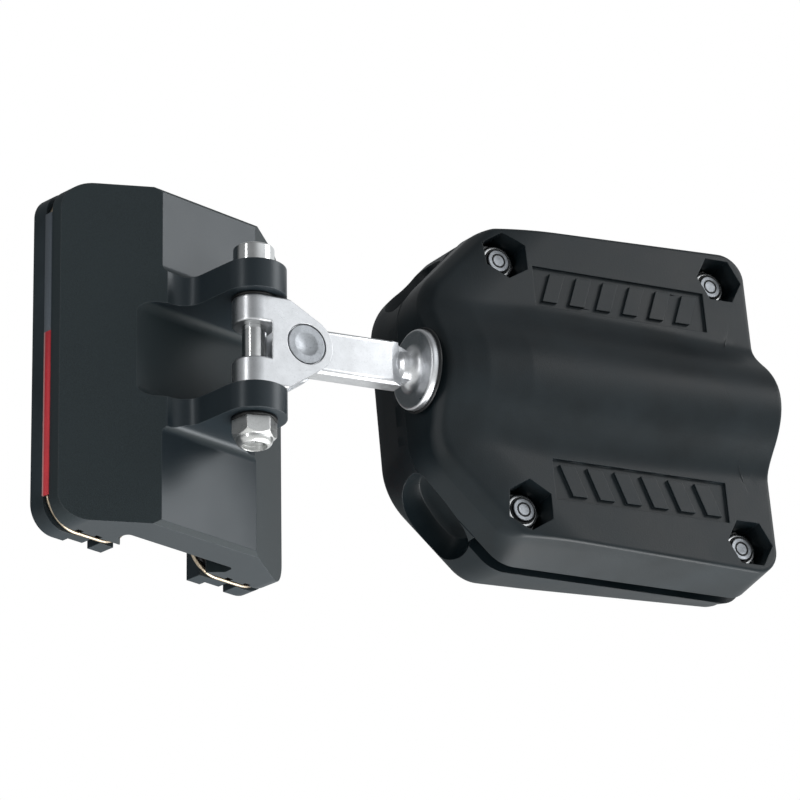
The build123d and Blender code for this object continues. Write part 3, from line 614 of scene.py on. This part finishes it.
def combine(body, tools, operation):
    """One boolean with many tools, applied."""
    group = bpy.data.collections.new("tools")
    for tool in tools:
        bpy.context.scene.collection.objects.unlink(tool)
        group.objects.link(tool)
    bpy.context.scene.collection.children.link(group)
    cut = body.modifiers.new("combine", "BOOLEAN")
    cut.operation = operation
    cut.operand_type = "COLLECTION"
    cut.collection = group
    cut.solver = "EXACT"
    bpy.context.view_layer.update()
    result = bpy.data.meshes.new_from_object(body.evaluated_get(bpy.context.evaluated_depsgraph_get()))
    body.modifiers.clear()
    body.data = result
    for tool in tools:
        bpy.data.objects.remove(tool)
    bpy.data.collections.remove(group)


def finish_shell(body, node_name):
    body.data.materials.clear()
    body.data.materials.append(MATERIALS["moulded_shells"])
    body.data.polygons.foreach_set("use_smooth", [True] * len(body.data.polygons))
    body.data.set_sharp_from_angle(angle=math.radians(28))
    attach(body, "receptacle")
    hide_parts(node_name)


def hexagon(x, z, flats):
    """Nut pocket: its flats lie across the receptacle at the nose and along it at the tail."""
    turn = 0.0 if x > 60 else math.pi / 6
    return circle(flats / math.sqrt(3), (x, z), 6, turn)


def make_front_shell():
    flats, floor = POCKET
    body = shell_body("front_shell", FRONT_PARTING, FRONT_RIM, PARTING_Y[0], front_height, -1,
                      lambda point: FRONT_EDGE_R)
    tools = [bar_x(circle(NOSE_BORE_R), -6.0, 10.0), trough(*COLLAR_ROOM), square_room(*SLIDE_ROOM),
             trough(*SHOE_ROOM), trough(*BATTEN_ROOM)]
    for x, z in BOLT_PLACES:
        tools.append(bar_y(circle(BOLT_HOLE_R, (x, z)), -20.0, 13.0))
        tools.append(bar_y(hexagon(x, z, flats), -20.0, floor))
    for sign in (-1, 1):
        tools.append(scoop(sign))
        tools += panel(sign)
    combine(body, tools, "DIFFERENCE")
    finish_shell(body, "receptacle_front_shell")


def make_rear_shell():
    def edge_radius(point):
        return BACK_ROLL[0][1] if point.x < NOSE_ROLL_X else along(BACK_ROLL, point.x)
    body = shell_body("rear_shell", REAR_PARTING, REAR_RIM, PARTING_Y[1], back_height, 1, edge_radius)
    # the nose block fills the gap behind the nose, and the pad closes the batten's room
    rim = [point for point, _ in outline(*REAR_PARTING) if point.x < 19.4]
    rim.sort(key=lambda p: p.y)
    inner = [(22.0, 37.0), (12.0, 25.0), (12.0, -25.0), (22.0, -37.0)]
    block = bar_y([(p.x, p.y) for p in rim] + inner, 10.05, 14.6)
    pad = box_y(43.5, 99.0, -11.0, 11.0, 11.95, 15.0)
    combine(body, [block, pad], "UNION")
    tools = [scoop(sign) for sign in (-1, 1)]
    for x, z in BOLT_PLACES:
        tools.append(bar_y(circle(BOLT_HOLE_R, (x, z)), 5.0, 40.0))
        tools.append(bar_y(circle(COUNTERBORE[0], (x, z)), COUNTERBORE[1], 40.0))
    combine(body, tools, "DIFFERENCE")
    finish_shell(body, "receptacle_rear_shell")


def make_insert_and_shade_rings():
    """Dark nylon rings in the four clamp nuts, a little proud, and on each bolt end a thin dark ring of
    painted shade.
    """
    # the first profile is a nylon insert; the second is the thin dark ring on a bolt end: painted shade
    profiles = [[(3.05, 0.7), (3.05, 0.42), (3.15, 0.34), (3.5, 0.32), (3.65, 0.40), (3.7, 0.7)],
                [(1.45, -0.2), (1.52, -0.36), (1.66, -0.39), (1.84, -0.39), (1.98, -0.36), (2.05, -0.2)]]
    sides = 48
    vertices = []
    faces = []
    for at, profile in [(at, profile) for at in BOLT_PLACES for profile in profiles]:
        first = len(vertices)
        for radius, y in profile:
            vertices += [(x, y, z) for x, z in circle(radius, at, sides)]
        for r in range(len(profile)):
            low, high = first + r * sides, first + (r + 1) % len(profile) * sides
            for k in range(sides):
                on = (k + 1) % sides
                faces.append((low + k, low + on, high + on, high + k))
    rings = solid("insert_and_shade_rings", vertices, faces)
    rings.data.materials.append(MATERIALS["black_washers"])
    rings.data.polygons.foreach_set("use_smooth", [True] * len(rings.data.polygons))
    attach(rings, "receptacle")


make_front_shell()
make_rear_shell()
make_insert_and_shade_rings()


# ---------------------------------------------------------------- stage
FLOOR_Z = -0.62
FLOOR_HALF = 4.0
LIGHT_AIM = Vector((0.03, 0.05, 0.0))
# Name, direction from the object, distance, width, height, power
LIGHTS = (("key", (0.70, 0.58, 0.42), 1.0, 0.45, 0.45, 2.6),
          ("strip", (0.10, -1.0, 0.10), 0.8, 0.07, 0.70, 1.1),
          ("under", (0.15, 0.40, -1.0), 0.5, 0.40, 0.40, 3.4))


def make_floor():
    mesh = bpy.data.meshes.new("floor")
    corners = [(x * FLOOR_HALF, y * FLOOR_HALF, FLOOR_Z) for x, y in ((-1, -1), (1, -1), (1, 1), (-1, 1))]
    mesh.from_pydata(corners, [], [(0, 1, 2, 3)])
    floor = bpy.data.objects.new("floor", mesh)
    bpy.context.scene.collection.objects.link(floor)
    g = Graph("floor_paint")
    shade = g.mix(g.noise(3.0, 2.0, 0.5), srgb(232, 232, 230), srgb(240, 240, 238))
    g.set(Base_Color=shade, Roughness=0.8, Emission_Color=shade, Emission_Strength=0.40)
    mesh.materials.append(g.material)


def add_light(name, direction, distance, width, height, power):
    data = bpy.data.lights.new(name, "AREA")
    data.energy = power
    data.shape = "RECTANGLE"
    data.size = width
    data.size_y = height
    light = bpy.data.objects.new(name, data)
    way = Vector(direction).normalized()
    light.location = LIGHT_AIM + way * distance
    light.rotation_euler = way.to_track_quat("Z", "Y").to_euler()
    light.visible_camera = False
    bpy.context.scene.collection.objects.link(light)


def make_world():
    """Soft studio: a white surround, dimmer overhead, behind the mast and on the side towards -Y."""
    world = bpy.data.worlds.new("studio")
    world.use_nodes = True
    bpy.context.scene.world = world
    tree = world.node_tree
    tree.nodes.clear()

    def node(kind, **settings):
        made = tree.nodes.new(kind)
        for key, value in settings.items():
            setattr(made, key, value)
        return made

    def ramp(value, low, high, to_low, to_high):
        made = node("ShaderNodeMapRange", interpolation_type="SMOOTHSTEP")
        for key, number in {"From Min": low, "From Max": high, "To Min": to_low, "To Max": to_high}.items():
            made.inputs[key].default_value = number
        tree.links.new(value, made.inputs["Value"])
        return made.outputs["Result"]

    place = node("ShaderNodeTexCoord")
    split = node("ShaderNodeSeparateXYZ")
    tree.links.new(place.outputs["Generated"], split.inputs[0])
    across = ramp(split.outputs["Y"], -0.70, 0.10, 0.30, 0.92)
    overhead = ramp(split.outputs["Z"], 0.45, 0.85, 1.0, 0.40)
    behind = ramp(split.outputs["X"], -0.95, -0.35, 0.22, 1.0)
    strength = overhead
    for factor in (across, behind):
        product = node("ShaderNodeMath", operation="MULTIPLY")
        tree.links.new(strength, product.inputs[0])
        tree.links.new(factor, product.inputs[1])
        strength = product.outputs[0]
    lit = node("ShaderNodeBackground")
    lit.inputs["Color"].default_value = (0.96, 0.985, 1.0, 1)
    tree.links.new(strength, lit.inputs["Strength"])
    seen = node("ShaderNodeBackground")
    seen.inputs["Color"].default_value = (1, 1, 1, 1)
    path = node("ShaderNodeLightPath")
    mix = node("ShaderNodeMixShader")
    tree.links.new(path.outputs["Is Camera Ray"], mix.inputs["Fac"])
    tree.links.new(lit.outputs[0], mix.inputs[1])
    tree.links.new(seen.outputs[0], mix.inputs[2])
    tree.links.new(mix.outputs[0], node("ShaderNodeOutputWorld").inputs["Surface"])


bpy.context.scene.view_settings.view_transform = "Standard"
make_floor()
make_world()
for light in LIGHTS:
    add_light(*light)
